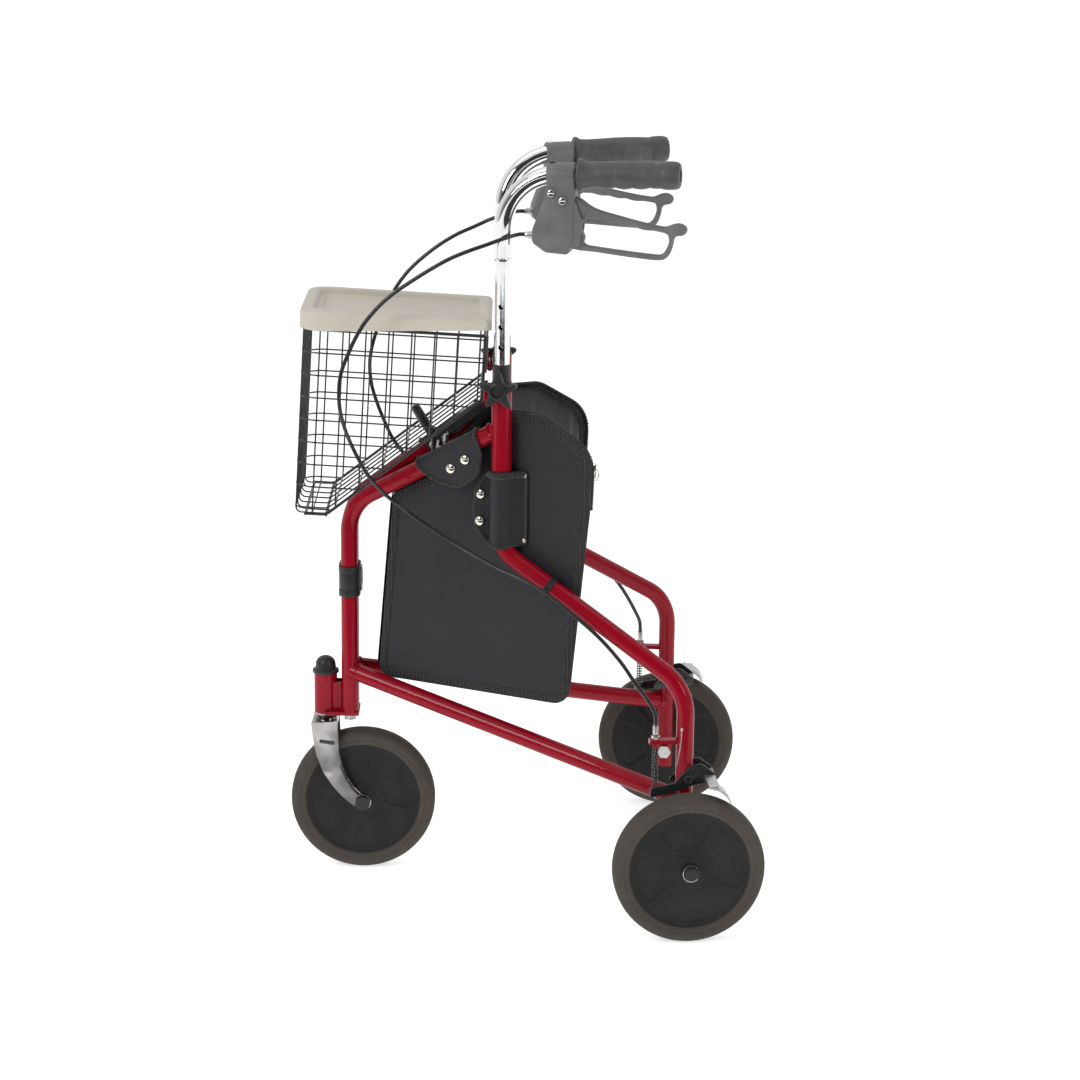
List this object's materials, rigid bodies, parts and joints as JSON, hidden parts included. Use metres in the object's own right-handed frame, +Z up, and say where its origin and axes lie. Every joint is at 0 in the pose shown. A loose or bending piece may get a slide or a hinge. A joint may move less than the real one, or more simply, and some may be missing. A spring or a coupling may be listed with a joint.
{
  "type": "rollator walker",
  "caption": "Folding three-wheel rollator walker with a burgundy tube frame, loop-brake handles, wire basket with tray and a zipped vinyl bag.",
  "frame": {"origin": "on the floor, under the middle of the bounding box", "axes": "+Z up; the caster leads towards -Y and the user walks at +Y; +X is the user's left"},
  "size_m": [0.5828, 0.6052, 0.9558],
  "materials": {
    "red_paint": "glossy burgundy paint",
    "black_plastic": "moulded",
    "black_steel": "satin black",
    "black_wire": "powder coated",
    "chrome": "polished",
    "zinc": "zinc plated",
    "axle_black": "satin",
    "grip_rubber": "moulded",
    "tyre": "solid, matt",
    "hub_plastic": "moulded",
    "cable_jacket": "smooth",
    "tray_plastic": "fine grain",
    "bag_vinyl": "grained vinyl",
    "bag_lining": "woven"
  },
  "bodies": {
    "bracket": {"hinge_bracket": "red_paint", "head_cap": "black_plastic", "hinge_pins": "zinc", "hinge_nuts": "zinc", "post_strap": "black_plastic", "head_bearings": "zinc", "bag_gusset": "bag_lining"},
    "caster": {"caster_fork": "chrome", "caster_axle": "axle_black"},
    "caster_wheel": {"caster_hub": "hub_plastic", "caster_tyre": "tyre"},
    "basket": {"wire_basket": "black_wire"},
    "tray": {"tray": "tray_plastic"},
    "release": {"fold_release": "black_steel"},
    "left_frame": {"left_front_tube": "red_paint", "left_handle_post": "red_paint", "left_rear_tube": "red_paint", "left_lower_rail": "red_paint", "left_hinge_bush": "zinc", "left_post_collar": "black_plastic", "left_cable_bracket": "red_paint", "left_axle": "zinc", "left_brake_spring": "black_steel", "left_brake_cable": "cable_jacket", "left_brace_bracket": "zinc", "left_bag_panel": "bag_vinyl"},
    "left_wheel": {"left_hub": "hub_plastic", "left_tyre": "tyre"},
    "left_handle": {"left_handle_tube": "chrome", "left_brake_housing": "black_plastic", "left_grip": "grip_rubber", "left_lever_pin": "chrome"},
    "left_lever": {"left_hand_lever": "black_plastic"},
    "left_knob": {"left_star_knob": "black_plastic"},
    "left_brake": {"left_brake_arm": "black_steel", "left_brake_shoe": "zinc"},
    "left_link": {"left_brace_link": "zinc"},
    "right_frame": {"right_front_tube": "red_paint", "right_handle_post": "red_paint", "right_rear_tube": "red_paint", "right_lower_rail": "red_paint", "right_hinge_bush": "zinc", "right_post_collar": "black_plastic", "right_cable_bracket": "red_paint", "right_axle": "zinc", "right_brake_spring": "black_steel", "right_brake_cable": "cable_jacket", "right_brace_bracket": "zinc", "right_bag_panel": "bag_vinyl"},
    "right_wheel": {"right_hub": "hub_plastic", "right_tyre": "tyre"},
    "right_handle": {"right_handle_tube": "chrome", "right_brake_housing": "black_plastic", "right_grip": "grip_rubber", "right_lever_pin": "chrome"},
    "right_lever": {"right_hand_lever": "black_plastic"},
    "right_knob": {"right_star_knob": "black_plastic"},
    "right_brake": {"right_brake_arm": "black_steel", "right_brake_shoe": "zinc"},
    "right_link": {"right_brace_link": "zinc"}
  },
  "joints": [
    {"name": "caster_swivel", "type": "hinge", "parent": "bracket", "child": "caster", "pos_m": [0, -0.2545, 0.24], "axis": [0, 0, 1], "continuous": true},
    {"name": "caster_wheel_spin", "type": "hinge", "parent": "caster", "child": "caster_wheel", "pos_m": [0, -0.2056, 0.095], "axis": [1, 0, 0], "continuous": true},
    {"name": "left_fold", "type": "hinge", "parent": "bracket", "child": "left_frame", "pos_m": [0.012, -0.222, 0.3], "axis": [0, 0, 1], "range_deg": [0, 17], "deforming": ["left_brake_cable", "bag_gusset"]},
    {"name": "left_height", "type": "slide", "parent": "left_frame", "child": "left_handle", "axis": [0, 0, 1], "range_m": [-0.1016, 0.0254], "deforming": ["left_brake_cable"]},
    {"name": "left_squeeze", "type": "hinge", "parent": "left_handle", "child": "left_lever", "pos_m": [0.11909, 0.0481, 0.904], "axis": [0.9781, -0.2079, 0], "range_deg": [0, 12], "stiffness_Nm_per_rad": 1.2, "springref_deg": -17.19},
    {"name": "left_knob_turn", "type": "hinge", "parent": "left_frame", "child": "left_knob", "pos_m": [0.10329, -0.02624, 0.667], "axis": [0.9781, -0.2079, 0], "range_deg": [-180, 180]},
    {"name": "left_brake_press", "type": "hinge", "parent": "left_frame", "child": "left_brake", "pos_m": [0.21079, 0.20786, 0.198], "axis": [-0.9962, -0.0872, 0], "range_deg": [0, 6], "deforming": ["left_brake_spring"]},
    {"name": "left_wheel_spin", "type": "hinge", "parent": "left_frame", "child": "left_wheel", "pos_m": [0.26236, 0.20936, 0.095], "axis": [0.9962, 0.0872, 0], "continuous": true},
    {"name": "left_link_turn", "type": "hinge", "parent": "left_frame", "child": "left_link", "pos_m": [0.04041, -0.10812, 0.572], "axis": [0, 1, 0], "range_deg": [-80, 0]},
    {"name": "right_fold", "type": "hinge", "parent": "bracket", "child": "right_frame", "pos_m": [-0.012, -0.222, 0.3], "axis": [0, 0, 1], "range_deg": [-17, 0], "deforming": ["right_brake_cable"]},
    {"name": "right_height", "type": "slide", "parent": "right_frame", "child": "right_handle", "axis": [0, 0, 1], "range_m": [-0.1016, 0.0254], "deforming": ["right_brake_cable"]},
    {"name": "right_squeeze", "type": "hinge", "parent": "right_handle", "child": "right_lever", "pos_m": [-0.11909, 0.0481, 0.904], "axis": [0.9781, 0.2079, 0], "range_deg": [0, 12], "stiffness_Nm_per_rad": 1.2, "springref_deg": -17.19},
    {"name": "right_knob_turn", "type": "hinge", "parent": "right_frame", "child": "right_knob", "pos_m": [-0.10329, -0.02624, 0.667], "axis": [0.9781, 0.2079, 0], "range_deg": [-180, 180]},
    {"name": "right_brake_press", "type": "hinge", "parent": "right_frame", "child": "right_brake", "pos_m": [-0.21079, 0.20786, 0.198], "axis": [-0.9962, 0.0872, 0], "range_deg": [0, 6], "deforming": ["right_brake_spring"]},
    {"name": "right_wheel_spin", "type": "hinge", "parent": "right_frame", "child": "right_wheel", "pos_m": [-0.26236, 0.20936, 0.095], "axis": [0.9962, -0.0872, 0], "continuous": true},
    {"name": "right_link_turn", "type": "hinge", "parent": "right_frame", "child": "right_link", "pos_m": [-0.04041, -0.10012, 0.572], "axis": [0, 1, 0], "range_deg": [0, 80]},
    {"name": "release_turn", "type": "hinge", "parent": "left_link", "child": "release", "pos_m": [0, -0.10812, 0.572], "axis": [0, 1, 0], "range_deg": [0, 80]},
    {"name": "basket_lift", "type": "slide", "parent": "bracket", "child": "basket", "axis": [0, 0, 1], "range_m": [0, 0.12]},
    {"name": "tray_lift", "type": "slide", "parent": "basket", "child": "tray", "axis": [0, 0.0523, 0.9986], "range_m": [0, 0.06]}
  ],
  "couplings": [
    {"joint": "left_brake_press", "follows": "left_squeeze", "ratio": 0.5},
    {"joint": "left_link_turn", "follows": "left_fold", "ratio": -4.7},
    {"joint": "right_brake_press", "follows": "right_squeeze", "ratio": 0.5},
    {"joint": "right_link_turn", "follows": "left_fold", "ratio": 4.7},
    {"joint": "right_fold", "follows": "left_fold", "ratio": -1},
    {"joint": "release_turn", "follows": "left_fold", "ratio": 4.7}
  ]
}
